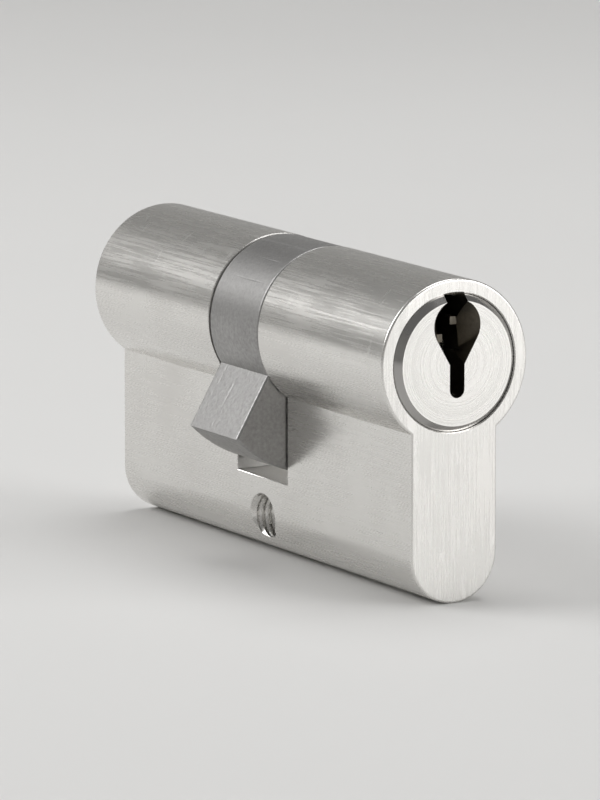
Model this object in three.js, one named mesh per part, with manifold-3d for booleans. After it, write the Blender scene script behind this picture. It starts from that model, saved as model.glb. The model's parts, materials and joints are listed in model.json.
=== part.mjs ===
// A double euro-profile lock cylinder: a key works it from either end. Millimetres, +Z up.
//
// The origin is the middle of the fixing-screw hole. +Y runs through the door, from the outer
// face to the inner face, and +X is to the right of someone who looks at the outer face.
// Every piece is drawn about the barrel axis, which is the Y axis of the group that holds them.

import * as THREE from 'three';
import { ConvexGeometry } from 'three/addons/geometries/ConvexGeometry.js';
import { mergeVertices } from 'three/addons/utils/BufferGeometryUtils.js';
import Module from 'manifold-3d';

const wasm = await Module();
wasm.setup();

// Housing
const OUTER_LENGTH = 30; // fixing hole to the outer face
const INNER_LENGTH = 30; // fixing hole to the inner face
const HEIGHT = 33; // top of the head to the bottom of the stem
const HEAD_RADIUS = 8.5;
const STEM_WIDTH = 10;
const FIXING_HOLE_RISE = 4.2; // stem bottom to the hole's axis
const FIXING_HOLE_RADIUS = 2.1;
const FIXING_HOLE_SINK = 0.5; // countersink at each end of the hole
const HOUSING_EDGE = 0.25; // chamfer round both end faces

// Barrels
const RIM = 1.5; // housing metal round the barrel's collar
const COLLAR_STEP = 0.5; // collar radius beyond the barrel's
const COLLAR_DEPTH = 2; // collar recess in the housing
const FACE_STANDOFF = 0.5; // barrel face proud of the housing
const FACE_CHAMFER = 0.65;

// Keyway
const KEYWAY_BOTTOM = 3.5; // below the barrel axis
const KEYWAY_HALF_WIDTH = 0.85;
const KEYWAY_SHOULDER = 1; // above the axis, where the keyway widens
const KEYWAY_UPPER_HALF_WIDTH = 1.2;
const WARD_HEIGHT = 0.8;
const WARD_REACH = 0.75; // how far each ward stands out of its wall
const LEFT_WARD_RISE = 1.9;
const RIGHT_WARD_RISE = 3.6;
const FUNNEL_RISE = 3.8; // funnel centre above the axis
const FUNNEL_RADIUS = 2.7;
const FUNNEL_DEPTH = 2.2;
const FUNNEL_POINT = 0.1; // where its V meets the keyway, below the axis

// Pin stacks
const PIN_RADIUS = 1.45;
const PIN_FROM_FACE = 4.8; // first pin axis behind the housing's face
const PIN_PITCH = 3.8;
const KEY_CUTS = [2.4, 1.2, 2, 0.8, 1.6]; // key pin tips below the axis, from the face inwards
const SPOOLS = [1, 3]; // which drivers, counted from 0, have a waist
const CHAMBER_TOP = 1.7; // end of the drilled chamber above the axis
const DRIVER_LENGTH = 5;
const SPOOL_WAIST = 1;
const PIN_CHAMFER = 0.4;
const CHAMBER_PLUG_LENGTH = 3;
const CHAMBER_PLUG_RECESS = 0.1;
const PIN_SPRING_WIRE = 0.2; // radius
const PIN_SPRING_TURNS = 6;

// Cam
const CAM_WIDTH = 10;
const TONGUE_RADIUS = 15.3; // barrel axis to the tongue's tip
const TONGUE_WIDTH = 8;
const TONGUE_CLEARANCE = 0.7; // under the tip, to the floor of the slot
const TONGUE_ANGLE = 30; // degrees from straight down, with the key out
const WEB_THICKNESS = 4.4; // the cam's inner wall, with the slots that the clutch drives

// Clutch
const HUB_RADIUS = 3.4;
const DOG_RADIUS = 5;
const DOG_WIDTH = 3;
const DOG_LENGTH = 3.4;
const HUB_GUIDE = 2.1; // hub behind the dog
const SPIGOT_RADIUS = 1.4;
const SPIGOT_INSERT = 3; // how far it reaches into the other half
const CLUTCH_SPRING_WIRE = 0.2; // radius
const CLUTCH_SPRING_TURNS = 2.5;

// Retaining clips
const CLIP_THICKNESS = 0.8;
const CLIP_WIDTH = 1.7;
const CLIP_GAP_ANGLE = 50; // degrees
const GROOVE_DEPTH = 0.75;

// Clearances
const RUNNING_GAP = 0.05; // radial, between pieces that turn or slide in each other
const PRESS_GAP = 0.02; // radial, round the chamber plugs
const END_GAP = 0.05; // between faces that bear on each other
const FREE_GAP = 0.2; // between faces that pass each other
const SHEAR_GAP = 0.1; // pin ends to the shear line
const SPRING_PLAY = 0.15; // radial, round or inside a coil

// Facets
const ROUND_FACETS = 40;
const PIN_FACETS = 12;
const ARC_STEPS = 16; // half as many as the facets of one arc of an outline
const SPRING_STEPS = 6; // per turn
const WELD_DISTANCE = 1e-4;

// Sizes that follow
const STEM_BOTTOM = HEAD_RADIUS - HEIGHT;
const AXIS_HEIGHT = -(STEM_BOTTOM + FIXING_HOLE_RISE);
const COLLAR_RADIUS = HEAD_RADIUS - RIM;
const BARREL_RADIUS = COLLAR_RADIUS - COLLAR_STEP;
const BORE_RADIUS = BARREL_RADIUS + RUNNING_GAP;
const CHAMBER_RADIUS = PIN_RADIUS + RUNNING_GAP;
const PIN_SPRING_RADIUS = PIN_RADIUS - PIN_SPRING_WIRE - SPRING_PLAY;
const CLUTCH_SPRING_RADIUS = SPIGOT_RADIUS + CLUTCH_SPRING_WIRE + 2 * SPRING_PLAY;
const CHAMBER_PLUG_TOP = STEM_BOTTOM + CHAMBER_PLUG_RECESS + CHAMBER_PLUG_LENGTH;
const SLOT_HALF_WIDTH = CAM_WIDTH / 2 + FREE_GAP;
const SLOT_FLOOR = -(TONGUE_RADIUS + TONGUE_CLEARANCE);
const CLIP_FAR_SIDE = SLOT_HALF_WIDTH - END_GAP - CLIP_THICKNESS;
const CLIP_INNER_RADIUS = BARREL_RADIUS - GROOVE_DEPTH + RUNNING_GAP;
const CLIP_OUTER_RADIUS = CLIP_INNER_RADIUS + CLIP_WIDTH;
const BARREL_END = WEB_THICKNESS / 2 + FREE_GAP;
const DOG_FRONT = FREE_GAP / 2; // a driving dog's front, short of the cylinder's middle
const DOG_PARKED = BARREL_END; // a parked dog's front
const CLUTCH_BORE_END = DOG_PARKED + DOG_LENGTH + HUB_GUIDE + DOG_FRONT;

const nickel = finish(0xd9d8d4, 0.3);
const brass = finish(0xc9a75a, 0.35);
const steel = finish(0x9da1a6, 0.4);
const springSteel = finish(0xb4b8bc, 0.3);
const sinteredSteel = finish(0x85888c, 0.5);

function finish(color, roughness) {
  return new THREE.MeshStandardMaterial({ color, roughness, metalness: 1 });
}

// Solids from three.js geometry

function toSolid(geometry) {
  geometry.deleteAttribute('normal');
  geometry.deleteAttribute('uv');
  const welded = mergeVertices(geometry, WELD_DISTANCE);
  const corners = welded.index.array;
  const triangles = [];
  for (let i = 0; i < corners.length; i += 3) {
    const [a, b, c] = corners.slice(i, i + 3);
    if (a !== b && b !== c && c !== a) {
      triangles.push(a, b, c);
    }
  }
  return new wasm.Manifold(new wasm.Mesh({
    numProp: 3,
    vertProperties: new Float32Array(welded.attributes.position.array),
    triVerts: new Uint32Array(triangles),
  }));
}

function toMesh(name, solid, material) {
  const { vertProperties, triVerts } = solid.getMesh();
  const geometry = new THREE.BufferGeometry();
  geometry.setAttribute('position', new THREE.BufferAttribute(vertProperties, 3));
  geometry.setIndex(new THREE.BufferAttribute(triVerts, 1));
  geometry.computeVertexNormals();
  const mesh = new THREE.Mesh(geometry, material);
  mesh.name = name;
  return mesh;
}

// A cylinder along Y, inside its radius: what turns in a hole.
function rod(radius, yFrom, yTo, facets = ROUND_FACETS) {
  const geometry = new THREE.CylinderGeometry(radius, radius, yTo - yFrom, facets);
  geometry.translate(0, (yFrom + yTo) / 2, 0);
  return toSolid(geometry);
}

// A cylinder along Y, outside its radius: a hole that a rod of that radius fits at any angle.
function hole(radius, yFrom, yTo, facets = ROUND_FACETS) {
  return rod(radius / Math.cos(Math.PI / facets), yFrom, yTo, facets);
}

function verticalHole(radius, y, zFrom, zTo) {
  return hole(radius, zFrom, zTo, PIN_FACETS).rotate([90, 0, 0]).translate([0, y, 0]);
}

function box(width, yFrom, yTo, zFrom, zTo) {
  const geometry = new THREE.BoxGeometry(width, yTo - yFrom, zTo - zFrom);
  geometry.translate(0, (yFrom + yTo) / 2, (zFrom + zTo) / 2);
  return toSolid(geometry);
}

// An outline in X and Z, extruded along Y with its end edges chamfered.
function prism(outline, yFrom, yTo, edge = 0) {
  const geometry = new THREE.ExtrudeGeometry(outline, {
    depth: yTo - yFrom - 2 * edge,
    curveSegments: ARC_STEPS,
    bevelEnabled: edge > 0,
    bevelThickness: edge,
    bevelSize: edge,
    bevelOffset: -edge,
    bevelSegments: 1,
  });
  geometry.rotateX(Math.PI / 2);
  geometry.translate(0, yTo - edge, 0);
  return toSolid(geometry);
}

// A turned piece about Y, from [radius, y] corners listed with y rising.
function turned(corners, facets = ROUND_FACETS) {
  const profile = corners.map(([radius, y]) => new THREE.Vector2(radius, y));
  return toSolid(new THREE.LatheGeometry(profile, facets));
}

function turnedUpright(corners, y) {
  return turned(corners, PIN_FACETS).rotate([90, 0, 0]).translate([0, y, 0]);
}

// A wire coil about Z, with its end turns lying flat.
class Coil extends THREE.Curve {
  constructor(radius, turns, zFrom, zTo) {
    super();
    Object.assign(this, { radius, turns, zFrom, zTo });
  }

  getPoint(t) {
    const angle = 2 * Math.PI * this.turns * t;
    const climb = THREE.MathUtils.smoothstep(t, 0, 1);
    const z = THREE.MathUtils.lerp(this.zFrom, this.zTo, climb);
    return new THREE.Vector3(this.radius * Math.cos(angle), this.radius * Math.sin(angle), z);
  }
}

function coil(wire, radius, turns, zFrom, zTo) {
  const section = new THREE.Shape();
  section.moveTo(wire, 0);
  section.lineTo(0, wire);
  section.lineTo(-wire, 0);
  section.lineTo(0, -wire);
  section.closePath();
  return toSolid(new THREE.ExtrudeGeometry(section, {
    steps: Math.round(turns * SPRING_STEPS),
    extrudePath: new Coil(radius, turns, zFrom + wire, zTo - wire),
  }));
}

// Housing

function housingOutline() {
  const halfStem = STEM_WIDTH / 2;
  const neckAngle = Math.asin(halfStem / HEAD_RADIUS);
  const outline = new THREE.Shape();
  outline.absarc(0, 0, HEAD_RADIUS, neckAngle - Math.PI / 2, 1.5 * Math.PI - neckAngle);
  outline.absarc(0, STEM_BOTTOM + halfStem, halfStem, Math.PI, 2 * Math.PI);
  outline.closePath();
  return outline;
}

function pinPositions(length) {
  return KEY_CUTS.map((_, i) => -(length - PIN_FROM_FACE - i * PIN_PITCH));
}

// What is cut from the housing's outer half; the inner half is the same, turned round.
function housingSideCut(length) {
  const collarRecess = hole(COLLAR_RADIUS + RUNNING_GAP, -length - 1, COLLAR_DEPTH - length);
  let cut = hole(BORE_RADIUS, -length, 0).add(collarRecess);
  for (const y of pinPositions(length)) {
    cut = cut.add(verticalHole(CHAMBER_RADIUS, y, STEM_BOTTOM - 1, 0));
  }
  return cut;
}

function fixingHole() {
  const halfStem = STEM_WIDTH / 2;
  const sunk = FIXING_HOLE_RADIUS + FIXING_HOLE_SINK;
  const corners = [
    [0, -halfStem - FIXING_HOLE_SINK],
    [sunk + FIXING_HOLE_SINK, -halfStem - FIXING_HOLE_SINK],
    [FIXING_HOLE_RADIUS, FIXING_HOLE_SINK - halfStem],
    [FIXING_HOLE_RADIUS, halfStem - FIXING_HOLE_SINK],
    [sunk + FIXING_HOLE_SINK, halfStem + FIXING_HOLE_SINK],
    [0, halfStem + FIXING_HOLE_SINK],
  ];
  return turned(corners, 2 * PIN_FACETS).rotate([0, 0, 90])
    .translate([0, 0, STEM_BOTTOM + FIXING_HOLE_RISE]);
}

function housing() {
  const camSlot = box(4 * HEAD_RADIUS, -SLOT_HALF_WIDTH, SLOT_HALF_WIDTH, SLOT_FLOOR, HEAD_RADIUS + 1);
  return prism(housingOutline(), -OUTER_LENGTH, INNER_LENGTH, HOUSING_EDGE)
    .subtract(housingSideCut(OUTER_LENGTH))
    .subtract(housingSideCut(INNER_LENGTH).rotate([0, 0, 180]))
    .subtract(camSlot)
    .subtract(fixingHole());
}

// Barrels, drawn for the outer side

function keywayOutline() {
  const lower = KEYWAY_HALF_WIDTH;
  const upper = KEYWAY_UPPER_HALF_WIDTH;
  const outline = new THREE.Shape();
  outline.absarc(0, lower - KEYWAY_BOTTOM, lower, Math.PI, 2 * Math.PI);
  outline.lineTo(lower, KEYWAY_SHOULDER);
  outline.lineTo(upper, KEYWAY_SHOULDER);
  outline.lineTo(upper, RIGHT_WARD_RISE);
  outline.lineTo(upper - WARD_REACH, RIGHT_WARD_RISE);
  outline.lineTo(upper - WARD_REACH, RIGHT_WARD_RISE + WARD_HEIGHT);
  outline.lineTo(upper, RIGHT_WARD_RISE + WARD_HEIGHT);
  outline.lineTo(upper, BARREL_RADIUS + 1);
  outline.lineTo(-upper, BARREL_RADIUS + 1);
  outline.lineTo(-upper, LEFT_WARD_RISE + WARD_HEIGHT);
  outline.lineTo(WARD_REACH - upper, LEFT_WARD_RISE + WARD_HEIGHT);
  outline.lineTo(WARD_REACH - upper, LEFT_WARD_RISE);
  outline.lineTo(-upper, LEFT_WARD_RISE);
  outline.lineTo(-upper, KEYWAY_SHOULDER);
  outline.lineTo(-lower, KEYWAY_SHOULDER);
  outline.closePath();
  return outline;
}

// One level of the funnel: a round mouth drawn down to a point as wide as the keyway.
function funnelLevel(y, radius, halfWidth, point) {
  const corners = [
    new THREE.Vector3(halfWidth, y, point),
    new THREE.Vector3(-halfWidth, y, point),
  ];
  for (let i = 0; i < 2 * PIN_FACETS; i += 1) {
    const angle = (i * Math.PI) / PIN_FACETS;
    corners.push(new THREE.Vector3(radius * Math.cos(angle), y, FUNNEL_RISE + radius * Math.sin(angle)));
  }
  return corners;
}

function funnel(faceY) {
  return toSolid(new ConvexGeometry([
    ...funnelLevel(faceY - 1, FUNNEL_RADIUS, KEYWAY_HALF_WIDTH, -FUNNEL_POINT),
    ...funnelLevel(faceY, FUNNEL_RADIUS, KEYWAY_HALF_WIDTH, -FUNNEL_POINT),
    ...funnelLevel(faceY + FUNNEL_DEPTH, KEYWAY_UPPER_HALF_WIDTH, KEYWAY_HALF_WIDTH, KEYWAY_SHOULDER),
  ]));
}

function clutchHole(yFrom, yTo) {
  return hole(HUB_RADIUS + RUNNING_GAP, yFrom, yTo);
}

function dogSlot(yFrom, yTo) {
  const reach = DOG_RADIUS + RUNNING_GAP;
  return box(DOG_WIDTH + 2 * RUNNING_GAP, yFrom, yTo, -2 * reach, 2 * reach)
    .intersect(hole(reach, yFrom, yTo));
}

function barrel(length) {
  const faceY = -length - FACE_STANDOFF;
  const grooveRadius = BARREL_RADIUS - GROOVE_DEPTH;
  const body = turned([
    [0, faceY],
    [COLLAR_RADIUS - FACE_CHAMFER, faceY],
    [COLLAR_RADIUS, faceY + FACE_CHAMFER],
    [COLLAR_RADIUS, COLLAR_DEPTH - length - END_GAP],
    [BARREL_RADIUS, COLLAR_DEPTH - length - END_GAP],
    [BARREL_RADIUS, -SLOT_HALF_WIDTH],
    [grooveRadius, -SLOT_HALF_WIDTH],
    [grooveRadius, END_GAP - CLIP_FAR_SIDE],
    [BARREL_RADIUS, END_GAP - CLIP_FAR_SIDE],
    [BARREL_RADIUS, -BARREL_END],
    [0, -BARREL_END],
  ]);
  let cut = prism(keywayOutline(), faceY - 1, -CLUTCH_BORE_END + DOG_FRONT)
    .add(funnel(faceY))
    .add(clutchHole(-CLUTCH_BORE_END, 0))
    .add(dogSlot(-(DOG_PARKED + DOG_LENGTH + DOG_FRONT), 0));
  for (const y of pinPositions(length)) {
    cut = cut.add(verticalHole(CHAMBER_RADIUS, y, -BARREL_RADIUS - 1, CHAMBER_TOP));
  }
  return body.subtract(cut);
}

function retainingClip() {
  const halfGap = THREE.MathUtils.degToRad(CLIP_GAP_ANGLE / 2);
  const outline = new THREE.Shape();
  outline.absarc(0, 0, CLIP_OUTER_RADIUS, halfGap, 2 * Math.PI - halfGap);
  outline.absarc(0, 0, CLIP_INNER_RADIUS, 2 * Math.PI - halfGap, halfGap, true);
  outline.closePath();
  return prism(outline, -CLIP_FAR_SIDE - CLIP_THICKNESS, -CLIP_FAR_SIDE);
}

// Cam

function cam() {
  const half = CAM_WIDTH / 2;
  const clipRecess = hole(CLIP_OUTER_RADIUS + FREE_GAP, CLIP_FAR_SIDE - FREE_GAP, CAM_WIDTH);
  const barrelRecess = hole(BORE_RADIUS, WEB_THICKNESS / 2, CAM_WIDTH);
  const sideCut = clipRecess.add(barrelRecess);
  const tongue = box(TONGUE_WIDTH, -half, half, -2 * TONGUE_RADIUS, 0)
    .intersect(rod(TONGUE_RADIUS, -half, half))
    .rotate([0, TONGUE_ANGLE, 0]);
  return rod(HEAD_RADIUS - RUNNING_GAP, -half, half)
    .add(tongue)
    .subtract(sideCut)
    .subtract(sideCut.rotate([0, 0, 180]))
    .subtract(clutchHole(-half, half))
    .subtract(dogSlot(-half, half));
}

// Clutch, drawn for the outer side

function clutchHalf(front) {
  const back = -(front + DOG_LENGTH + HUB_GUIDE);
  const dog = box(DOG_WIDTH, -front - DOG_LENGTH, -front, -2 * DOG_RADIUS, 2 * DOG_RADIUS)
    .intersect(rod(DOG_RADIUS, -front - DOG_LENGTH, -front));
  return rod(HUB_RADIUS, back, -front).add(dog);
}

function outerClutchHalf() {
  return clutchHalf(DOG_FRONT).add(rod(SPIGOT_RADIUS, -DOG_FRONT - 1, DOG_PARKED + SPIGOT_INSERT));
}

function innerClutchHalf() {
  const socketEnd = DOG_PARKED + SPIGOT_INSERT + FREE_GAP;
  return clutchHalf(DOG_PARKED).rotate([0, 0, 180])
    .subtract(hole(SPIGOT_RADIUS + RUNNING_GAP, 0, socketEnd));
}

function clutchSpring() {
  const yFrom = DOG_FRONT - END_GAP;
  const yTo = DOG_PARKED - END_GAP;
  return coil(CLUTCH_SPRING_WIRE, CLUTCH_SPRING_RADIUS, CLUTCH_SPRING_TURNS, yFrom, yTo)
    .rotate([-90, 0, 0]);
}

// Pin stacks, drawn for the outer side

function keyPin(cut, y) {
  const bottom = SHEAR_GAP - BARREL_RADIUS;
  return turnedUpright([
    [0, bottom],
    [PIN_RADIUS - PIN_CHAMFER, bottom],
    [PIN_RADIUS, bottom + PIN_CHAMFER],
    [PIN_RADIUS, -cut - 2 * PIN_CHAMFER],
    [PIN_CHAMFER, -cut],
    [0, -cut],
  ], y);
}

function driverPin(hasWaist, y) {
  const top = -(BORE_RADIUS + SHEAR_GAP);
  const bottom = top - DRIVER_LENGTH;
  const waist = [
    [PIN_RADIUS, bottom + DRIVER_LENGTH / 4],
    [SPOOL_WAIST, bottom + DRIVER_LENGTH / 4],
    [SPOOL_WAIST, top - DRIVER_LENGTH / 4],
    [PIN_RADIUS, top - DRIVER_LENGTH / 4],
  ];
  return turnedUpright([
    [0, bottom],
    [PIN_RADIUS - PIN_CHAMFER, bottom],
    [PIN_RADIUS, bottom + PIN_CHAMFER],
    ...(hasWaist ? waist : []),
    [PIN_RADIUS, top - PIN_CHAMFER],
    [PIN_RADIUS - PIN_CHAMFER, top],
    [0, top],
  ], y);
}

function pinSpring(y) {
  const top = -(BORE_RADIUS + SHEAR_GAP + DRIVER_LENGTH);
  const zFrom = CHAMBER_PLUG_TOP + END_GAP;
  return coil(PIN_SPRING_WIRE, PIN_SPRING_RADIUS, PIN_SPRING_TURNS, zFrom, top - END_GAP)
    .translate([0, y, 0]);
}

function chamberPlug(length, y) {
  const radius = CHAMBER_RADIUS - PRESS_GAP;
  const recessedProfile = prism(housingOutline(), -length, 0).translate([0, 0, CHAMBER_PLUG_RECESS]);
  return rod(radius, STEM_BOTTOM, CHAMBER_PLUG_TOP, PIN_FACETS)
    .rotate([90, 0, 0])
    .translate([0, y, 0])
    .intersect(recessedProfile);
}

// Assembly

// One side's pieces. The inner side is the outer one turned half round about the vertical.
function side(prefix, length, turn) {
  const pieces = new THREE.Group();
  const place = (name, solid, material) => {
    pieces.add(toMesh(`${prefix}_${name}`, solid.rotate([0, 0, turn]), material));
  };
  place('barrel', barrel(length), nickel);
  place('retaining_clip', retainingClip(), springSteel);
  pinPositions(length).forEach((y, i) => {
    place(`key_pin_${i + 1}`, keyPin(KEY_CUTS[i], y), brass);
    place(`driver_pin_${i + 1}`, driverPin(SPOOLS.includes(i), y), steel);
    place(`pin_spring_${i + 1}`, pinSpring(y), springSteel);
    place(`chamber_plug_${i + 1}`, chamberPlug(length, y), nickel);
  });
  return pieces;
}

const cylinder = new THREE.Group();
cylinder.position.z = AXIS_HEIGHT;
cylinder.add(
  toMesh('housing', housing(), nickel),
  side('outer', OUTER_LENGTH, 0),
  side('inner', INNER_LENGTH, 180),
  toMesh('cam', cam(), sinteredSteel),
  toMesh('outer_clutch_half', outerClutchHalf(), steel),
  toMesh('inner_clutch_half', innerClutchHalf(), steel),
  toMesh('clutch_spring', clutchSpring(), springSteel),
);

export default cylinder;
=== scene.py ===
import json
import math

import bpy
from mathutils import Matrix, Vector


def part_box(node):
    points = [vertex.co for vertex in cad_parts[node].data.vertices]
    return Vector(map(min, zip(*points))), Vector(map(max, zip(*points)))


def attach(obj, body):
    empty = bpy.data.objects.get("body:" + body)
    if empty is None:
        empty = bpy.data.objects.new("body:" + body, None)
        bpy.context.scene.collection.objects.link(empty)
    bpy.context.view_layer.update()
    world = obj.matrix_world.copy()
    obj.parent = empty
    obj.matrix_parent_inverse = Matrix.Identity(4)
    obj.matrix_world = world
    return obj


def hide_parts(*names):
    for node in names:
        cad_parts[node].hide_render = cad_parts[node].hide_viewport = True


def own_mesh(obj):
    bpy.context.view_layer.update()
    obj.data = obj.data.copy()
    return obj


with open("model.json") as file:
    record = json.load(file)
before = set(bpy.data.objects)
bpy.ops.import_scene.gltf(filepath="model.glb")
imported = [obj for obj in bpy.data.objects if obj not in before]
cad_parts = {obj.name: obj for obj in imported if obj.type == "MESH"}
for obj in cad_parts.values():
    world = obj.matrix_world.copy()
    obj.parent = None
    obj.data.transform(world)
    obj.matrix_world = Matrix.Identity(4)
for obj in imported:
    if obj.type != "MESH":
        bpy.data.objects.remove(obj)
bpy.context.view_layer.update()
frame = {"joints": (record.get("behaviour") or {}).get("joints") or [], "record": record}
print("frame loaded")

mm = 0.001
ops = bpy.ops
scene = bpy.context.scene
mounts = {m["name"]: m for m in frame["record"]["mounts"]}
joints = {j["name"]: j for j in frame["joints"]}
axisZ = joints["barrel_turn_outer"]["pos_m"][2]
housingLow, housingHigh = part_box("housing")
sides = {"outer": -1, "inner": 1}  # which way each side's face looks along Y
pinNumbers = range(1, 6)
overrun = 1.0 * mm  # how far a cutting tool stands past what it cuts
hair = 0.01 * mm  # what one cutting tool stands past the next, so that no two of their faces coincide
mending = {"merge": 0.0005 * mm, "spike": 0.001 * mm, "flat": math.radians(0.3), "pinhole": 0.008 * mm}


def deselect():
    ops.object.select_all(action='DESELECT')


def pick(piece):
    deselect()
    piece.select_set(True)
    bpy.context.view_layer.objects.active = piece


def take(name):
    piece = bpy.context.object
    piece.name = name
    piece.data.name = name
    return piece


def settle(piece):
    pick(piece)
    ops.object.transform_apply(location=True, rotation=True, scale=True)
    return piece


def applyModifiers(piece):
    pick(piece)
    for modifier in list(piece.modifiers):
        ops.object.modifier_apply(modifier=modifier.name)


def block(name, low, high):
    deselect()
    size = [b - a for a, b in zip(low, high)]
    middle = [(a + b) / 2 for a, b in zip(low, high)]
    ops.mesh.primitive_cube_add(size=1, location=middle, scale=size)
    return settle(take(name))


# a round piece, drawn out of a circle step by step: (radius, distance along its axis)
def turned(name, steps, facets, along="y", centre=None):
    deselect()
    centre = Vector(centre or (0, 0, axisZ))
    axis = Vector((0, 1, 0)) if along == "y" else Vector((0, 0, 1))
    tilt = (math.pi / 2, 0, 0) if along == "y" else (0, 0, 0)
    radius, distance = steps[0]
    ops.mesh.primitive_circle_add(vertices=facets, radius=radius, fill_type='NGON',
                                  location=centre + axis * distance, rotation=tilt)
    piece = settle(take(name))
    ops.object.mode_set(mode='EDIT')
    ops.mesh.select_all(action='SELECT')
    for nextRadius, nextDistance in steps[1:]:
        ops.mesh.extrude_region_move(TRANSFORM_OT_translate={"value": axis * (nextDistance - distance)})
        k = nextRadius / radius
        scale = (k, 1, k) if along == "y" else (k, k, 1)
        ops.transform.resize(value=scale, center_override=centre + axis * nextDistance)
        radius, distance = nextRadius, nextDistance
    ops.mesh.select_all(action='SELECT')
    ops.mesh.normals_make_consistent(inside=False)
    ops.object.mode_set(mode='OBJECT')
    return piece


def selectEdges(piece, wanted):
    pick(piece)
    ops.object.mode_set(mode='EDIT')
    ops.mesh.select_mode(type='EDGE')
    ops.mesh.select_all(action='DESELECT')
    ops.object.mode_set(mode='OBJECT')
    for edge in piece.data.edges:
        edge.select = wanted(*[piece.data.vertices[i].co for i in edge.vertices])
    ops.object.mode_set(mode='EDIT')


# rounds the edge all the way round both end faces
def roundEnds(piece, width, ends):
    selectEdges(piece, lambda a, b: any(abs(a.y - y) + abs(b.y - y) < 0.1 * hair for y in ends))
    ops.mesh.bevel(offset=width, segments=3, affect='EDGES', clamp_overlap=False)
    ops.mesh.select_mode(type='VERT')
    ops.object.mode_set(mode='OBJECT')


def carve(piece, tool, how='DIFFERENCE'):
    pick(piece)
    cut = piece.modifiers.new("cut", 'BOOLEAN')
    cut.operation = how
    cut.solver = 'EXACT'
    cut.material_mode = 'TRANSFER'  # a cut face keeps the material of what cut it
    cut.object = tool
    ops.object.modifier_apply(modifier=cut.name)
    bpy.data.objects.remove(tool)
    return piece


def tidyFaces(piece):
    pick(piece)
    ops.object.mode_set(mode='EDIT')
    ops.mesh.select_all(action='SELECT')
    ops.mesh.remove_doubles(threshold=mending["merge"])
    ops.mesh.dissolve_degenerate(threshold=mending["spike"])
    ops.mesh.dissolve_limited(angle_limit=mending["flat"])
    ops.object.mode_set(mode='OBJECT')


sharpTurn = math.radians(60)  # an edge where two faces turn by more than this is broken


def breakEdges(piece, width, segments=2):
    tidyFaces(piece)
    bevel = piece.modifiers.new("edges", 'BEVEL')
    bevel.width = width
    bevel.segments = segments
    bevel.limit_method = 'ANGLE'
    bevel.angle_limit = sharpTurn
    bevel.use_clamp_overlap = False  # one short edge would otherwise hold every bevel back
    applyModifiers(piece)
    closePinholes(piece)
    smooth(piece)


# what a bevel leaves open where three edges run together
def closePinholes(piece):
    pick(piece)
    ops.object.mode_set(mode='EDIT')
    ops.mesh.select_all(action='SELECT')
    ops.mesh.remove_doubles(threshold=mending["pinhole"])
    ops.mesh.select_all(action='DESELECT')
    ops.mesh.select_non_manifold(extend=False)
    ops.mesh.fill_holes(sides=0)
    ops.mesh.select_all(action='SELECT')
    ops.mesh.normals_make_consistent(inside=False)
    ops.object.mode_set(mode='OBJECT')


def smooth(piece, angle=35):
    pick(piece)
    ops.object.shade_smooth_by_angle(angle=math.radians(angle))
    even = piece.modifiers.new("even", 'WEIGHTED_NORMAL')
    even.keep_sharp = True
    applyModifiers(piece)


def turnAboutAxis(piece, angle):
    pick(piece)
    ops.transform.rotate(value=-angle, orient_axis='Y', center_override=(0, 0, axisZ))
    settle(piece)


# a copy with its own mesh, turned half round about the fixing hole to make the inner side's piece
def turnedCopy(piece, name):
    pick(piece)
    ops.object.duplicate()
    copy = take(name)
    copy.rotation_euler = (0, 0, math.pi)
    return settle(copy)


def finishPiece(piece, body, slot, material, *nodes):
    if not piece.data.materials:
        piece.data.materials.append(material)
    for number, own in enumerate(piece.data.materials):  # a cut by a bare tool leaves an empty slot
        piece.data.materials[number] = own or material
    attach(piece, body)
    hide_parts(*nodes)


def newMaterial(name):
    material = bpy.data.materials.new(name)
    material.use_nodes = True
    return material, material.node_tree, material.node_tree.nodes["Principled BSDF"]


def addNode(tree, kind, inputs=None, **settings):
    node = tree.nodes.new(kind)
    for key, value in settings.items():
        setattr(node, key, value)
    for key, value in (inputs or {}).items():
        if isinstance(value, bpy.types.NodeSocket):
            tree.links.new(value, node.inputs[key])
        else:
            node.inputs[key].default_value = value
    return node


def mathNode(tree, operation, a, b=0.0):
    return addNode(tree, 'ShaderNodeMath', {0: a, 1: b}, operation=operation).outputs[0]


def stretched(tree, coords, scale, turn=(0, 0, 0)):
    node = addNode(tree, 'ShaderNodeMapping', {"Vector": coords, "Scale": scale, "Rotation": turn})
    return node.outputs["Vector"]


def noise(tree, coords, scale, detail=3.0, roughness=0.55):
    node = addNode(tree, 'ShaderNodeTexNoise', {"Vector": coords, "Scale": scale, "Detail": detail,
                                                "Roughness": roughness})
    return node.outputs["Fac"]


def ranged(tree, value, fromLow, fromHigh, toLow, toHigh):
    node = addNode(tree, 'ShaderNodeMapRange', {"Value": value, "From Min": fromLow, "From Max": fromHigh,
                                                "To Min": toLow, "To Max": toHigh})
    return node.outputs["Result"]


# a Mix node's sockets go by number: 2 and 3 take plain values, 6 and 7 take colours
def blended(tree, amount, first, second):
    node = addNode(tree, 'ShaderNodeMix', {0: amount, 2: first, 3: second}, data_type='FLOAT')
    return node.outputs[0]


def blendedColour(tree, amount, first, second):
    node = addNode(tree, 'ShaderNodeMix', {0: amount, 6: first, 7: second}, data_type='RGBA')
    return node.outputs[2]


# distance from the barrel axis and the place along it, as a vector a turning mark follows
def aroundAxis(tree, coords):
    parts = addNode(tree, 'ShaderNodeSeparateXYZ', {0: coords})
    lifted = mathNode(tree, 'SUBTRACT', parts.outputs["Z"], axisZ)
    squares = mathNode(tree, 'ADD', mathNode(tree, 'POWER', parts.outputs["X"], 2.0),
                       mathNode(tree, 'POWER', lifted, 2.0))
    radius = mathNode(tree, 'SQRT', squares)
    return addNode(tree, 'ShaderNodeCombineXYZ', {0: radius, 1: parts.outputs["Y"]}).outputs[0]


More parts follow.
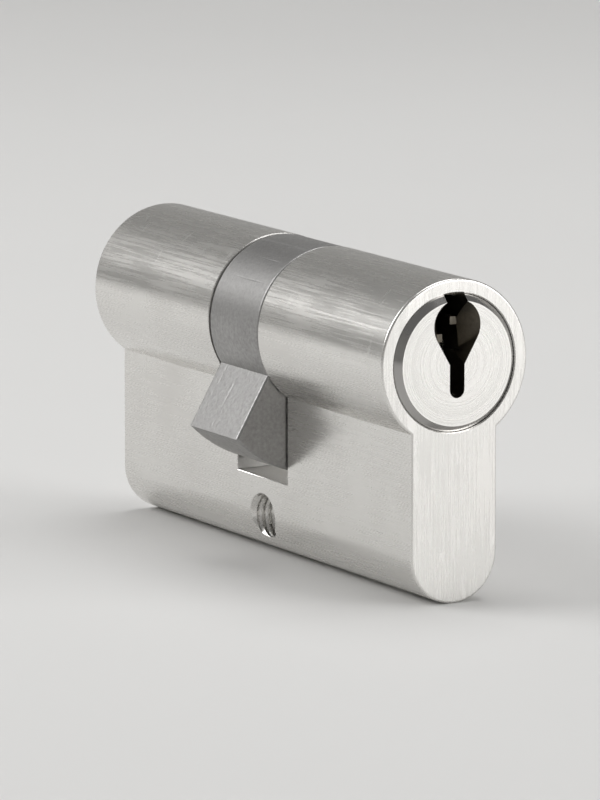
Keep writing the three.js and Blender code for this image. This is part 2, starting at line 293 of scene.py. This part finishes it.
# how far a face looks along Y, either way: 0 on the sides and 1 on the ends
def facingEnds(tree, coordNode):
    parts = addNode(tree, 'ShaderNodeSeparateXYZ', {0: coordNode.outputs["Normal"]})
    return mathNode(tree, 'ABSOLUTE', parts.outputs["Y"])


noiseSpan = (0.3, 0.7)  # where most of a noise's values lie
grainSpan = (0.25, 0.75)
scratchDepth = 0.5  # against the grain's
# two lots of fine scratches, each drawn out in its own direction; the span sets how few there are
scratchLots = [
    {"stretch": (1, 0.02, 0.3), "turn": (0.3, 0.5, 0.4), "scale": 1500.0, "span": (0.68, 0.72)},
    {"stretch": (0.2, 1, 0.02), "turn": (0.6, 0.2, 1.1), "scale": 1300.0, "span": (0.69, 0.73)},
]


# grain is the brushing or turning, 0 to 1; smudges and fine scratches come on top of it
def metalFinish(tree, shader, coords, grain, look):
    smudge = noise(tree, coords, look["smudgeScale"], detail=4.0, roughness=0.6)
    marks = []
    for lot in scratchLots:
        lines = noise(tree, stretched(tree, coords, lot["stretch"], lot["turn"]), lot["scale"], detail=2.0)
        marks.append(ranged(tree, lines, *lot["span"], 0.0, 1.0))
    scratches = mathNode(tree, 'ADD', *marks)
    rough = ranged(tree, grain, *grainSpan, look["smoothest"], look["roughest"])
    rough = mathNode(tree, 'ADD', rough, ranged(tree, smudge, *noiseSpan, -look["smudge"], look["smudge"]))
    rough = mathNode(tree, 'ADD', rough, mathNode(tree, 'MULTIPLY', scratches, look["scratch"]))
    tree.links.new(rough, shader.inputs["Roughness"])
    tint = ranged(tree, smudge, *noiseSpan, 0.0, 1.0 - look["speckle"])
    tint = mathNode(tree, 'ADD', tint, ranged(tree, grain, *noiseSpan, 0.0, look["speckle"]))
    tree.links.new(blendedColour(tree, tint, look["colour"], look["shade"]), shader.inputs["Base Color"])
    height = mathNode(tree, 'SUBTRACT', grain, mathNode(tree, 'MULTIPLY', scratches, scratchDepth))
    bump = addNode(tree, 'ShaderNodeBump', {"Height": height, "Strength": look["bump"],
                                            "Distance": look["depth"]})
    tree.links.new(bump.outputs["Normal"], shader.inputs["Normal"])
    shader.inputs["Metallic"].default_value = 1.0


nickelLook = {"colour": (0.80, 0.79, 0.765, 1), "shade": (0.73, 0.715, 0.69, 1),
              "smoothest": 0.2, "roughest": 0.34, "smudge": 0.04, "smudgeScale": 90.0,
              "speckle": 0.2, "scratch": 0.06, "bump": 0.2, "depth": 0.004 * mm}
camLook = {"colour": (0.43, 0.425, 0.42, 1), "shade": (0.29, 0.285, 0.28, 1),
           "smoothest": 0.32, "roughest": 0.52, "smudge": 0.04, "smudgeScale": 160.0,
           "speckle": 0.75, "scratch": 0.05, "bump": 0.8, "depth": 0.04 * mm}
steelLook = {"colour": (0.55, 0.55, 0.56, 1), "shade": (0.44, 0.44, 0.45, 1),
             "smoothest": 0.24, "roughest": 0.4, "smudge": 0.04, "smudgeScale": 300.0,
             "speckle": 0.3, "scratch": 0.04, "bump": 0.3, "depth": 0.004 * mm}
brassLook = {"colour": (0.78, 0.58, 0.26, 1), "shade": (0.66, 0.46, 0.19, 1),
             "smoothest": 0.2, "roughest": 0.38, "smudge": 0.05, "smudgeScale": 300.0,
             "speckle": 0.3, "scratch": 0.04, "bump": 0.3, "depth": 0.004 * mm}
milledLook = {"colour": (0.62, 0.61, 0.59, 1), "shade": (0.52, 0.51, 0.49, 1),
              "smoothest": 0.42, "roughest": 0.58, "smudge": 0.05, "smudgeScale": 200.0,
              "speckle": 0.4, "scratch": 0.04, "bump": 0.4, "depth": 0.01 * mm}
# the keyway and funnel are coloured near black: painted shade of the deep hole, tinted towards brass
keywayPaintedShadeLook = {"colour": (0.15, 0.135, 0.11, 1), "shade": (0.09, 0.08, 0.065, 1),
              "smoothest": 0.3, "roughest": 0.46, "smudge": 0.06, "smudgeScale": 500.0,
              "speckle": 0.3, "scratch": 0.03, "bump": 0.4, "depth": 0.008 * mm}


brushing = {"scale": 5200.0, "lengthwise": (1, 0.02, 1), "upright": (1, 1, 0.03), "endSpan": (0.75, 0.9)}


# sides drawn lengthwise, end faces brushed upright
def brushedNickel():
    s = brushing
    material, tree, shader = newMaterial("brushed_nickel")
    coordNode = addNode(tree, 'ShaderNodeTexCoord')
    coords = coordNode.outputs["Object"]
    lengthwise = noise(tree, stretched(tree, coords, s["lengthwise"]), s["scale"], detail=4.0)
    upright = noise(tree, stretched(tree, coords, s["upright"]), s["scale"], detail=4.0)
    ends = ranged(tree, facingEnds(tree, coordNode), *s["endSpan"], 0.0, 1.0)
    metalFinish(tree, shader, coords, blended(tree, ends, lengthwise, upright), nickelLook)
    return material


# the chamfer's colour is painted shade that darkens the ring; its low roughness is real polish
turning = {"scale": 9000.0, "chamferColour": (0.42, 0.41, 0.4, 1), "chamferRough": 0.14,
           "chamferFacing": 0.707, "chamferSpan": (0.05, 0.12)}


# turned on a lathe: rings on the face, hoops round the sides, and a polished chamfer whose colour is
# darkened with painted shade
def turnedNickel():
    s = turning
    material, tree, shader = newMaterial("turned_nickel")
    coordNode = addNode(tree, 'ShaderNodeTexCoord')
    coords = coordNode.outputs["Object"]
    metalFinish(tree, shader, coords, noise(tree, aroundAxis(tree, coords), s["scale"]), nickelLook)
    offSlant = mathNode(tree, 'SUBTRACT', facingEnds(tree, coordNode), s["chamferFacing"])
    chamfer = ranged(tree, mathNode(tree, 'ABSOLUTE', offSlant), *s["chamferSpan"], 1.0, 0.0)
    # the chamfer's darker colour is painted shade; its smoother finish is real polish
    for socket, mix, polishAndShade in (("Base Color", blendedColour, s["chamferColour"]),
                                  ("Roughness", blended, s["chamferRough"])):
        before = shader.inputs[socket].links[0].from_socket
        tree.links.new(mix(tree, chamfer, before, polishAndShade), shader.inputs[socket])
    return material


# an even fine grain: pressed, sintered, milled or drawn
def grainyMetal(name, look, scale):
    material, tree, shader = newMaterial(name)
    coords = addNode(tree, 'ShaderNodeTexCoord').outputs["Object"]
    grain = noise(tree, coords, scale, detail=5.0, roughness=0.65)
    metalFinish(tree, shader, coords, grain, look)
    return material


housingNickel = brushedNickel()
barrelNickel = turnedNickel()
camSteel = grainyMetal("cam_steel", camLook, 2600.0)
clipSteel = grainyMetal("spring_wire", steelLook, 4000.0)
partSteel = grainyMetal("turned_steel", steelLook, 5000.0)
milledNickel = grainyMetal("milled_nickel", milledLook, 3500.0)
keywayPaintedShadeMetal = grainyMetal("milled_keyway", keywayPaintedShadeLook, 4000.0)
pinBrass = grainyMetal("key_pin_brass", brassLook, 5000.0)
print("materials made")


# grind is how far from the wire's middle its ground face lies, in wire radii
coilSizes = {"grind": 0.3, "stepsPerTurn": 28, "smoothAngle": math.radians(50)}


# a wire ring wound up along Z, its ends ground flat
def coil(name, centre, radius, wire, turns, low, high, wireSides=10):
    s = coilSizes
    start, end = low + wire * s["grind"], high - wire * s["grind"]
    deselect()
    ops.mesh.primitive_circle_add(vertices=wireSides, radius=wire, fill_type='NOTHING',
                                  location=(centre[0] + radius, centre[1], start),
                                  rotation=(math.pi / 2, 0, 0))
    piece = settle(take(name))
    scene.cursor.location = (centre[0], centre[1], start)
    ops.object.origin_set(type='ORIGIN_CURSOR')
    wind = piece.modifiers.new("wind", 'SCREW')
    wind.angle = 2 * math.pi * turns
    wind.screw_offset = end - start
    wind.steps = wind.render_steps = int(s["stepsPerTurn"] * turns)
    wind.use_merge_vertices = False
    wind.use_smooth_shade = True
    applyModifiers(piece)
    settle(piece)
    ops.object.mode_set(mode='EDIT')
    ops.mesh.select_all(action='DESELECT')
    ops.mesh.select_non_manifold(extend=False)
    ops.mesh.fill_holes(sides=0)
    for level, lower in ((low, True), (high, False)):
        ops.mesh.select_all(action='SELECT')
        ops.mesh.bisect(plane_co=(0, 0, level), plane_no=(0, 0, 1), use_fill=True, clear_inner=lower,
                        clear_outer=not lower, threshold=0.0001 * mm)
    ops.mesh.select_all(action='SELECT')
    ops.mesh.normals_make_consistent(inside=False)
    ops.object.mode_set(mode='OBJECT')
    ops.object.shade_smooth_by_angle(angle=s["smoothAngle"])
    return piece


housingSizes = {"facets": 128, "edge": 0.07 * mm, "endEdge": 0.25 * mm, "mouth": 0.12 * mm,
                "boreGap": 0.05 * mm, "collarRadius": 7.0 * mm, "collarDepth": 2.0 * mm,
                "barrelRadius": 6.5 * mm, "pinChamber": 1.5 * mm, "chamberFacets": 32,
                "chamberRoof": 4.0 * mm, "slotHalf": 5.2 * mm, "slotDrop": 16.0 * mm}
holeSizes = {"radius": mounts["fixing_screw"]["dims"]["r_mm"] * mm, "sink": 0.5 * mm, "facets": 48,
             "pitch": 0.8 * mm, "grooveInset": 0.1 * mm, "grooveWire": 0.39 * mm, "grooveSides": 4}
headRadius = housingHigh.x
stemHalf = -mounts["stem_left_side"]["pos_m"][0]
# the two rounds of the stem's bottom stop just short of each other, and what is between is merged
stemSizes = {"roundShare": 0.9999, "roundSteps": 32, "merge": 0.01 * mm}


def makeStem():
    s = stemSizes
    stem = block("stem", (-stemHalf, housingLow.y, housingLow.z), (stemHalf, housingHigh.y, axisZ))
    selectEdges(stem, lambda a, b: abs(a.y - b.y) > mm and max(a.z, b.z) < housingLow.z + mm)
    ops.mesh.bevel(offset=stemHalf * s["roundShare"], segments=s["roundSteps"], affect='EDGES',
                   clamp_overlap=False)
    ops.mesh.select_mode(type='VERT')
    ops.mesh.select_all(action='SELECT')
    ops.mesh.remove_doubles(threshold=s["merge"])
    ops.object.mode_set(mode='OBJECT')
    return stem


def makeHousing():
    s = housingSizes
    housing = turned("housing_body", [(headRadius, housingLow.y), (headRadius, housingHigh.y)], s["facets"])
    housing.data.materials.append(housingNickel)
    carve(housing, makeStem(), 'UNION')
    tidyFaces(housing)
    roundEnds(housing, s["endEdge"], (housingLow.y, housingHigh.y))
    for face in sides.values():
        end = face * housingHigh.y
        recess = s["collarRadius"] + s["boreGap"]
        bore = s["barrelRadius"] + s["boreGap"]
        floor = end - face * s["collarDepth"]
        mouth = recess + s["mouth"]
        steps = [(mouth, end + face * overrun), (mouth, end), (recess, end - face * s["mouth"]),
                 (recess, floor), (bore, floor), (bore, 0)]
        carve(housing, turned("bore", steps, s["facets"]))
    slot = block("slot", (-2 * headRadius, -s["slotHalf"], axisZ - s["slotDrop"]),
                 (2 * headRadius, s["slotHalf"], axisZ + 2 * headRadius))
    slot.data.materials.append(milledNickel)
    carve(housing, slot)
    for side in sides:
        for number in pinNumbers:
            low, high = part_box(f"{side}_chamber_plug_{number}")
            place = (0, (low.y + high.y) / 2, 0)
            ends = (housingLow.z - overrun, axisZ - s["chamberRoof"])
            chamber = [(s["pinChamber"], z) for z in ends]
            carve(housing, turned("chamber", chamber, s["chamberFacets"], "z", place))
    carve(housing, fixingHoleTool())
    breakEdges(housing, s["edge"], segments=1)
    carve(housing, threadTool())
    smooth(housing)
    finishPiece(housing, "housing", "satin_nickel", housingNickel, "housing")


# countersunk both ways, and turned to lie across the stem
def fixingHoleTool():
    s = holeSizes
    start, end = stemHalf + s["sink"], stemHalf - s["sink"]
    wide = s["radius"] + 2 * s["sink"]
    tool = turned("fixing_hole", [(wide, -start), (s["radius"], -end), (s["radius"], end), (wide, start)],
                  s["facets"], "y", (0, 0, 0))
    tool.rotation_euler = (0, 0, math.pi / 2)
    return settle(tool)


# the screw thread's groove, wound through the hole
def threadTool():
    s = holeSizes
    reach = stemHalf + overrun
    groove = coil("thread", (0, 0), s["radius"] - s["grooveInset"], s["grooveWire"], 2 * reach / s["pitch"],
                  -reach, reach, s["grooveSides"])
    groove.rotation_euler = (0, math.pi / 2, 0)
    return settle(groove)


makeHousing()
print("housing made")


barrelSizes = {"facets": 128, "chamfer": 0.65 * mm, "grooveRadius": 5.75 * mm, "clipRoom": 0.05 * mm,
               "keyHalf": 0.85 * mm, "keyBottom": 3.5 * mm, "keyTop": 9.0 * mm, "keyEnd": 7.9 * mm,
               "shoulder": 1.0 * mm, "upperHalf": 1.2 * mm, "wardReach": 0.75 * mm, "wardHeight": 0.8 * mm,
               "leftWard": 1.9 * mm, "rightWard": 3.6 * mm, "funnelRise": 3.8 * mm,
               "funnelRadius": 2.7 * mm, "funnelDepth": 2.2 * mm, "funnelPoint": 0.1 * mm,
               "funnelFacets": 48, "floorFacets": 32, "hubFacets": 64,
               "hubRadius": 3.45 * mm, "hubEnd": 8.0 * mm, "chamberTop": 1.7 * mm, "dogSlot": 5.9 * mm}


def keywayTool(faceY):
    s = barrelSizes
    front = faceY - overrun
    top = axisZ + s["keyTop"]
    keyway = block("keyway", (-s["keyHalf"], front, axisZ - s["keyBottom"] + s["keyHalf"]),
                   (s["keyHalf"], -s["keyEnd"], top))
    upper = block("upper", (-s["upperHalf"], front + hair, axisZ + s["shoulder"]),
                  (s["upperHalf"], -s["keyEnd"] - hair, top - hair))
    carve(keyway, upper, 'UNION')
    reach, past = s["upperHalf"] - s["wardReach"], 2 * s["upperHalf"]
    for near, far, rise in ((-past, -reach, s["leftWard"]), (reach, past, s["rightWard"])):
        ward = block("ward", (near, front - overrun, axisZ + rise), (far, 0, axisZ + rise + s["wardHeight"]))
        carve(keyway, ward)
    middle = (0, 0, axisZ - s["keyBottom"] + s["keyHalf"])
    steps = [(s["keyHalf"], front + 2 * hair), (s["keyHalf"], -s["keyEnd"] - 2 * hair)]
    return carve(keyway, turned("floor", steps, s["floorFacets"], "y", middle), 'UNION')


# a round mouth drawn down to a point as wide as the keyway, narrowing inwards
def funnelTool(faceY):
    s = barrelSizes
    rise = axisZ + s["funnelRise"]
    front = faceY - overrun
    steps = [(s["funnelRadius"], front), (s["funnelRadius"], faceY),
             (s["upperHalf"], faceY + s["funnelDepth"])]
    funnel = turned("funnel", steps, s["funnelFacets"], "y", (0, 0, rise))
    point = block("point", (-s["keyHalf"], front, axisZ - s["funnelPoint"]),
                  (s["keyHalf"], faceY, rise))
    inner = block("inner", (-s["keyHalf"], faceY, axisZ + s["shoulder"]),
                  (s["keyHalf"], faceY + s["funnelDepth"], rise))
    deselect()
    for part in (point, inner, funnel):
        part.select_set(True)
    bpy.context.view_layer.objects.active = funnel
    ops.object.join()
    ops.object.mode_set(mode='EDIT')
    ops.mesh.select_all(action='SELECT')
    ops.mesh.convex_hull()
    ops.object.mode_set(mode='OBJECT')
    return funnel


def makeBarrel():
    s = barrelSizes
    h = housingSizes
    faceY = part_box("outer_barrel")[0].y
    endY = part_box("outer_barrel")[1].y
    back = housingLow.y + h["collarDepth"] - h["boreGap"]
    collar, radius, groove = h["collarRadius"], h["barrelRadius"], s["grooveRadius"]
    clipNear = -h["slotHalf"]
    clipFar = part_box("outer_retaining_clip")[1].y + s["clipRoom"]
    steps = [(collar - s["chamfer"], faceY), (collar, faceY + s["chamfer"]), (collar, back), (radius, back),
             (radius, clipNear), (groove, clipNear), (groove, clipFar), (radius, clipFar), (radius, endY)]
    barrel = turned("outer_plug", steps, s["facets"])
    barrel.data.materials.append(barrelNickel)
    # the keyway's and funnel's cut faces take the near-black colour, which is painted shade
    for tool in (keywayTool(faceY), funnelTool(faceY)):
        tool.data.materials.clear()
        tool.data.materials.append(keywayPaintedShadeMetal)
        carve(barrel, tool)
    for number in pinNumbers:
        low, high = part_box(f"outer_key_pin_{number}")
        place = (0, (low.y + high.y) / 2, 0)
        chamber = [(h["pinChamber"], axisZ - 2 * radius), (h["pinChamber"], axisZ + s["chamberTop"])]
        carve(barrel, turned("chamber", chamber, h["chamberFacets"], "z", place))
    carve(barrel, turned("hub", [(s["hubRadius"], -s["hubEnd"]), (s["hubRadius"], 0)], s["hubFacets"]))
    carve(barrel, dogSlotTool(-s["dogSlot"], 0))
    tidyFaces(barrel)
    smooth(barrel, angle=30)
    inner = turnedCopy(barrel, "inner_plug")
    finishPiece(barrel, "outer_barrel", "satin_nickel", barrelNickel, "outer_barrel")
    finishPiece(inner, "inner_barrel", "satin_nickel", barrelNickel, "inner_barrel")


clutchSizes = {"facets": 96, "smallFacets": 48, "slotFacets": 64, "dogRadius": 5.0 * mm, "dogHalf": 1.5 * mm,
               "gap": 0.05 * mm, "hub": 3.4 * mm, "front": -0.1 * mm, "guide": 2.1 * mm, "spigot": 1.4 * mm,
               "socketRoom": 0.2 * mm, "chamfer": 0.3 * mm, "edge": 0.1 * mm}


# a bar across the axis with round ends: the dog on a coupling or, a little larger, the slot for it
def dogTool(low, high, half, reach, facets):
    dog = block("dog", (-half, low, axisZ - 2 * reach), (half, high, axisZ + 2 * reach))
    steps = [(reach, low - overrun), (reach, high + overrun)]
    return carve(dog, turned("dog_end", steps, facets), 'INTERSECT')


def dogSlotTool(low, high):
    s = clutchSizes
    return dogTool(low, high, s["dogHalf"] + s["gap"], s["dogRadius"] + s["gap"], s["slotFacets"])


makeBarrel()
print("barrels made")


camSizes = {"facets": 128, "edge": 0.3 * mm, "edgeSteps": 4, "tongueHalf": 4.0 * mm,
            "tongueRadius": 15.3 * mm, "lean": math.radians(30), "recess": 7.7 * mm,
            "recessFloor": 4.15 * mm, "web": 2.2 * mm}


# a disc whose rims are rounded over
def roundedDisc(name, radius, low, high):
    s = camSizes
    edge = s["edge"]
    turns = [math.pi / 2 * step / s["edgeSteps"] for step in range(s["edgeSteps"] + 1)]
    front = [(radius - edge + edge * math.sin(a), low + edge * (1 - math.cos(a))) for a in turns]
    back = [(r, low + high - y) for r, y in reversed(front)]
    return turned(name, front + back, s["facets"])


def makeCam():
    s = camSizes
    low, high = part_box("cam")
    cam = roundedDisc("cam_ring", high.z - axisZ, low.y, high.y)
    half, reach = s["tongueHalf"], s["tongueRadius"]
    tongue = block("tongue", (-half, low.y, axisZ - 2 * reach), (half, high.y, axisZ))
    selectEdges(tongue, lambda a, b: abs(a.z - b.z) > mm)
    ops.mesh.bevel(offset=s["edge"], segments=s["edgeSteps"], affect='EDGES')
    ops.mesh.select_mode(type='VERT')
    ops.object.mode_set(mode='OBJECT')
    hairline = 0.1 * hair
    carve(tongue, roundedDisc("reach", reach, low.y - hairline, high.y + hairline), 'INTERSECT')
    turnAboutAxis(tongue, s["lean"])
    carve(cam, tongue, 'UNION')
    for face in sides.values():
        end = face * (high.y + overrun)
        floor = face * s["recessFloor"]
        bore = housingSizes["barrelRadius"] + housingSizes["boreGap"]
        steps = [(s["recess"], end), (s["recess"], floor), (bore, floor), (bore, face * s["web"])]
        carve(cam, turned("seat", steps, s["facets"]))
    hub, facets = barrelSizes["hubRadius"], barrelSizes["hubFacets"]
    carve(cam, turned("middle", [(hub, low.y - overrun), (hub, high.y + overrun)], facets))
    carve(cam, dogSlotTool(low.y, high.y))
    tidyFaces(cam)
    smooth(cam)
    finishPiece(cam, "cam", "sintered_steel", camSteel, "cam")


makeCam()
print("cam made")


def makeClutch():
    s = clutchSizes
    hub, spigot, chamfer = s["hub"], s["spigot"], s["chamfer"]
    dogSize = (s["dogHalf"], s["dogRadius"], s["facets"])
    back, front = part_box("outer_clutch_half")[0].y, s["front"]
    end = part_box("outer_clutch_half")[1].y
    steps = [(hub - chamfer, back), (hub, back + chamfer), (hub, front)]
    outer = turned("outer_coupling", steps, s["facets"])
    carve(outer, dogTool(back + s["guide"], front, *dogSize), 'UNION')
    steps = [(spigot, front - overrun), (spigot, end - chamfer), (spigot - chamfer, end)]
    carve(outer, turned("spigot", steps, s["smallFacets"]), 'UNION')
    breakEdges(outer, s["edge"])
    finishPiece(outer, "outer_clutch", "pin_steel", partSteel, "outer_clutch_half")
    front, back = [corner.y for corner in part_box("inner_clutch_half")]
    steps = [(hub, front), (hub, back - chamfer), (hub - chamfer, back)]
    inner = turned("inner_coupling", steps, s["facets"])
    carve(inner, dogTool(front, back - s["guide"], *dogSize), 'UNION')
    socket = spigot + s["gap"]
    carve(inner, turned("socket", [(socket, 0), (socket, end + s["socketRoom"])], s["smallFacets"]))
    breakEdges(inner, s["edge"])
    finishPiece(inner, "inner_clutch", "pin_steel", partSteel, "inner_clutch_half")


pinSpringSizes = {"radius": 1.12 * mm, "wire": 0.17 * mm, "turns": 7.5, "keep": 0.741}
clutchSpringSizes = {"radius": 1.9 * mm, "wire": 0.19 * mm, "turns": 3.2}


def makePinSpring(side, number):
    s = pinSpringSizes
    node = f"{side}_pin_spring_{number}"
    low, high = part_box(node)
    y = (low.y + high.y) / 2
    spring = coil(f"{side}_stack_spring_{number}", (0, y), s["radius"], s["wire"], s["turns"], low.z, high.z)
    finishPiece(spring, "housing", "spring_steel", clipSteel, node)
    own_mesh(spring)


def makeClutchSpring():
    s = clutchSpringSizes
    low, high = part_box("clutch_spring")
    spring = coil("coupling_spring", (0, 0), s["radius"], s["wire"], s["turns"], low.y, high.y)
    spring.rotation_euler = (-math.pi / 2, 0, 0)
    settle(spring)
    spring.location = (0, 0, axisZ)
    settle(spring)
    finishPiece(spring, "outer_clutch", "spring_steel", clipSteel, "clutch_spring")


pinSizes = {"facets": 40, "radius": 1.45 * mm, "cone": 0.95 * mm, "foot": 0.3 * mm, "tip": 0.45 * mm,
            "footCurve": [(1, 0), (0.1, 0.6), (0, 1.4)],  # (in from the side, up from the end), in feet
            "tipCurve": [(1, 0.2), (0.6, 0)],  # (out from the middle, down from the end), in tips
            "waist": 1.0 * mm, "neck": 1.1 * mm, "end": 1.25 * mm, "flare": 0.25 * mm, "spools": (2, 4)}


def makeKeyPin(side, number):
    s = pinSizes
    node = f"{side}_key_pin_{number}"
    low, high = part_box(node)
    r, foot, tip = s["radius"], s["foot"], s["tip"]
    steps = [(r - inward * foot, low.z + rise * foot) for inward, rise in s["footCurve"]]
    steps.append((r, high.z - s["cone"]))
    steps += [(outward * tip, high.z - drop * tip) for outward, drop in s["tipCurve"]]
    pin = turned(f"{side}_stack_key_pin_{number}", steps, s["facets"], "z", (0, (low.y + high.y) / 2, 0))
    smooth(pin, angle=25)
    finishPiece(pin, node, "pin_brass", pinBrass, node)


def makeDriver(side, number):
    s = pinSizes
    node = f"{side}_driver_pin_{number}"
    low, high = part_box(node)
    r, foot = s["radius"], s["foot"]
    steps = [(r - foot, low.z), (r, low.z + foot), (r, high.z - foot), (r - foot, high.z)]
    if number in s["spools"]:
        bottom, top = low.z + s["end"], high.z - s["end"]
        waist, neck, flare = s["waist"], s["neck"], s["flare"]
        steps[2:2] = [(r, bottom), (neck, bottom + flare), (waist, bottom + 2 * flare),
                      (waist, top - 2 * flare), (neck, top - flare), (r, top)]
    pin = turned(f"{side}_stack_driver_{number}", steps, s["facets"], "z", (0, (low.y + high.y) / 2, 0))
    smooth(pin, angle=25)
    finishPiece(pin, node, "pin_steel", partSteel, node)


plugSizes = {"facets": 40, "radius": 1.48 * mm, "recess": 0.1 * mm, "edge": 0.06 * mm, "lead": 0.25 * mm}


def makeChamberPlug(side, number):
    s = plugSizes
    node = f"{side}_chamber_plug_{number}"
    low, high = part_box(node)
    place = (0, (low.y + high.y) / 2, 0)
    r, lead = s["radius"], s["lead"]
    steps = [(r, housingLow.z - overrun), (r, high.z - lead), (r - lead, high.z)]
    plug = turned(f"{side}_stack_plug_{number}", steps, s["facets"], "z", place)
    shape = makeStem()
    shape.location.z = s["recess"]
    carve(plug, settle(shape), 'INTERSECT')
    breakEdges(plug, s["edge"])
    finishPiece(plug, "housing", "satin_nickel", housingNickel, node)


clipSizes = {"inner": 5.8 * mm, "outer": 7.5 * mm, "gap": math.radians(50), "edge": 0.12 * mm, "steps": 110}


# an open spring ring: its section swept round the barrel, with the gap towards +X
def makeClips():
    s = clipSizes
    low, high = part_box("outer_retaining_clip")
    middle = ((s["inner"] + s["outer"]) / 2, (low.y + high.y) / 2, axisZ)
    deselect()
    ops.mesh.primitive_plane_add(size=1, location=middle)
    clip = take("outer_clip")
    clip.scale = (s["outer"] - s["inner"], high.y - low.y, 1)
    settle(clip)
    ops.object.mode_set(mode='EDIT')
    ops.mesh.select_all(action='SELECT')
    ops.mesh.bevel(offset=s["edge"], segments=2, affect='VERTICES')
    ops.mesh.select_all(action='SELECT')
    ops.mesh.spin(steps=s["steps"], angle=2 * math.pi - s["gap"], center=(0, 0, axisZ), axis=(0, 1, 0))
    ops.mesh.select_all(action='SELECT')
    ops.mesh.normals_make_consistent(inside=False)
    ops.object.mode_set(mode='OBJECT')
    turnAboutAxis(clip, -s["gap"] / 2)
    smooth(clip)
    other = turnedCopy(clip, "inner_clip")
    finishPiece(clip, "outer_barrel", "spring_steel", clipSteel, "outer_retaining_clip")
    finishPiece(other, "inner_barrel", "spring_steel", clipSteel, "inner_retaining_clip")


makeClutch()
makeClutchSpring()
makeClips()
print("clutch and clips made")
for side in sides:
    for number in pinNumbers:
        makeKeyPin(side, number)
        makeDriver(side, number)
        makePinSpring(side, number)
        makeChamberPlug(side, number)
print("pin stacks made")


stageSizes = {"floor": 1.2, "facets": 128, "fold": 0.4, "foldSteps": 12, "wall": 0.7}
paperLook = {"colour": (0.74, 0.735, 0.725, 1), "shade": (0.72, 0.715, 0.705, 1), "cloudScale": 6.0,
             "roughness": 0.7}


# a round pale floor that turns up into a low wall on every side
def makeStage():
    s = stageSizes
    deselect()
    ops.mesh.primitive_circle_add(vertices=s["facets"], radius=s["floor"], fill_type='NGON',
                                  location=(0, 0, housingLow.z))
    floor = settle(take("sweep"))
    turns = [math.pi / 2 * step / s["foldSteps"] for step in range(s["foldSteps"] + 1)]
    steps = [(s["floor"] + s["fold"] * math.sin(a), s["fold"] * (1 - math.cos(a))) for a in turns]
    steps.append((steps[-1][0], steps[-1][1] + s["wall"]))
    ops.object.mode_set(mode='EDIT')
    ops.mesh.select_mode(type='EDGE')
    ops.mesh.select_all(action='SELECT')
    for (radius, rise), (nextRadius, nextRise) in zip(steps, steps[1:]):
        ops.mesh.extrude_edges_move(TRANSFORM_OT_translate={"value": (0, 0, nextRise - rise)})
        k = nextRadius / radius
        ops.transform.resize(value=(k, k, 1), center_override=(0, 0, 0))
    ops.mesh.select_mode(type='VERT')
    ops.object.mode_set(mode='OBJECT')
    ops.object.shade_smooth()
    floor.data.materials.append(palePaper())


def palePaper():
    look = paperLook
    material, tree, shader = newMaterial("pale_paper")
    coords = addNode(tree, 'ShaderNodeTexCoord').outputs["Object"]
    cloud = ranged(tree, noise(tree, coords, look["cloudScale"]), *noiseSpan, 0.0, 1.0)
    tree.links.new(blendedColour(tree, cloud, look["colour"], look["shade"]), shader.inputs["Base Color"])
    shader.inputs["Roughness"].default_value = look["roughness"]
    return material


lights = {
    "key": {"place": (-0.55, 0.42, 0.5), "size": 0.5, "power": 3.4},
    "window": {"place": (0.62, -0.8, 0.24), "size": 0.7, "power": 6.2},
    "top": {"place": (0.2, 0.1, 0.85), "size": 0.6, "power": 3.2},
}
lightTarget = Vector((0, 0, 12 * mm))
roomLight = {"colour": (0.9, 0.9, 0.89, 1), "strength": 0.28}


def makeLights():
    for name, light in lights.items():
        deselect()
        ops.object.light_add(type='AREA', location=light["place"])
        lamp = bpy.context.object
        lamp.name = name
        lamp.data.size = light["size"]
        lamp.data.energy = light["power"]
        lamp.rotation_euler = (lightTarget - Vector(light["place"])).to_track_quat('-Z', 'Y').to_euler()
    world = bpy.data.worlds.new("soft_room")
    world.use_nodes = True
    background = world.node_tree.nodes["Background"]
    background.inputs["Color"].default_value = roomLight["colour"]
    background.inputs["Strength"].default_value = roomLight["strength"]
    scene.world = world


# view is what the frame's taller side takes in, and the sensor is in millimetres
cameraSizes = {"azimuth": -30.0, "elevation": 10.0, "distance": 0.7, "view": 0.083,
               "target": (-0.5 * mm, 0, 12.0 * mm), "sensor": 36, "nearest": 0.01}


def makeCamera():
    s = cameraSizes
    a, e = math.radians(s["azimuth"]), math.radians(s["elevation"])
    toCamera = Vector((math.sin(a) * math.cos(e), -math.cos(a) * math.cos(e), math.sin(e)))
    target = Vector(s["target"])
    deselect()
    ops.object.camera_add(location=target + toCamera * s["distance"])
    camera = bpy.context.object
    camera.rotation_euler = (-toCamera).to_track_quat('-Z', 'Y').to_euler()
    camera.data.sensor_width = s["sensor"]
    camera.data.lens = s["sensor"] * s["distance"] / s["view"]
    camera.data.clip_start = s["nearest"]
    scene.camera = camera


scene.view_settings.view_transform = 'Standard'
makeStage()
makeLights()
makeCamera()
print("stage made")
